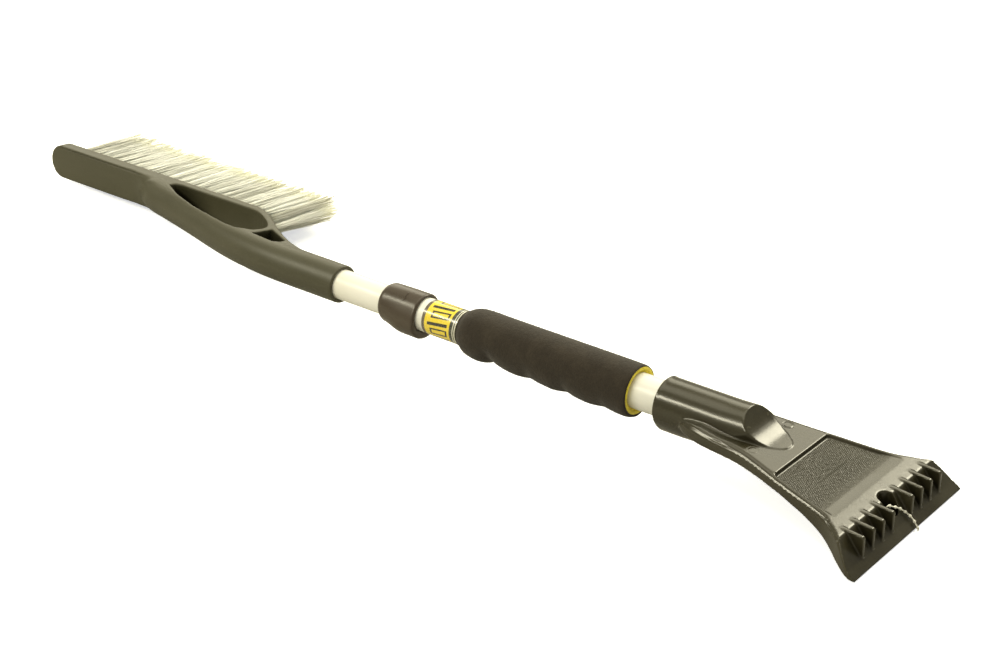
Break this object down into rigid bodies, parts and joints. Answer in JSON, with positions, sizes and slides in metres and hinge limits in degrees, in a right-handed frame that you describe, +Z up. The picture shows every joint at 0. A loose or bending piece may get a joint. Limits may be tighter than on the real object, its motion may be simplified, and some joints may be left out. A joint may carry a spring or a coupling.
{
  "type": "telescopic snow brush with ice scraper",
  "caption": "Telescopic snow brush: bristle head on a sliding twist-lock tube, foam grip, and a flared ice scraper blade with fins, thumb panel and hang hole.",
  "frame": {"origin": "centre of the hang hole in the scraper head, at the middle of its wall", "axes": "+X along the shaft from the brush to the scraper blade, +Z up out of the hang hole with the head's top face up, +Y to the side the bristles point"},
  "size_m": [0.756, 0.1646, 0.044],
  "materials": {
    "black_plastic": "satin",
    "brush_plastic": "satin",
    "collar_plastic": "satin",
    "painted_tube": "gloss",
    "painted_tube_inner": "gloss",
    "foam": "matte",
    "yellow_foam": "matte",
    "label_film": "gloss",
    "bush_nylon": "matte",
    "lock_plastic": "matte",
    "screw_steel": "satin",
    "anchor_wire": "satin",
    "bristle": "satin"
  },
  "bodies": {
    "handle": {"scraper_head": "black_plastic", "scraper_screw": "screw_steel", "outer_tube": "painted_tube", "foam_grip": "foam", "grip_end_ring": "yellow_foam", "label_sleeve": "label_film", "lock_collar": "collar_plastic", "guide_bush": "bush_nylon"},
    "lock_slider": {"lock_ring": "lock_plastic"},
    "brush": {"inner_tube": "painted_tube_inner", "lock_plug": "lock_plastic", "plug_cap": "lock_plastic", "plug_screw": "screw_steel", "brush_body": "brush_plastic", "brush_screw": "screw_steel", "tuft_anchors": "anchor_wire", "bristle_row_top": "bristle", "bristle_row_upper": "bristle", "bristle_row_lower": "bristle", "bristle_row_bottom": "bristle"}
  },
  "joints": [
    {"name": "telescope", "type": "slide", "parent": "handle", "child": "lock_slider", "axis": [-1, 0, 0], "range_m": [-0.04, 0.15]},
    {"name": "twist_lock", "type": "hinge", "parent": "lock_slider", "child": "brush", "pos_m": [-0.3375, 0, 0.0186], "axis": [1, 0, 0], "range_deg": [-90, 90]}
  ]
}
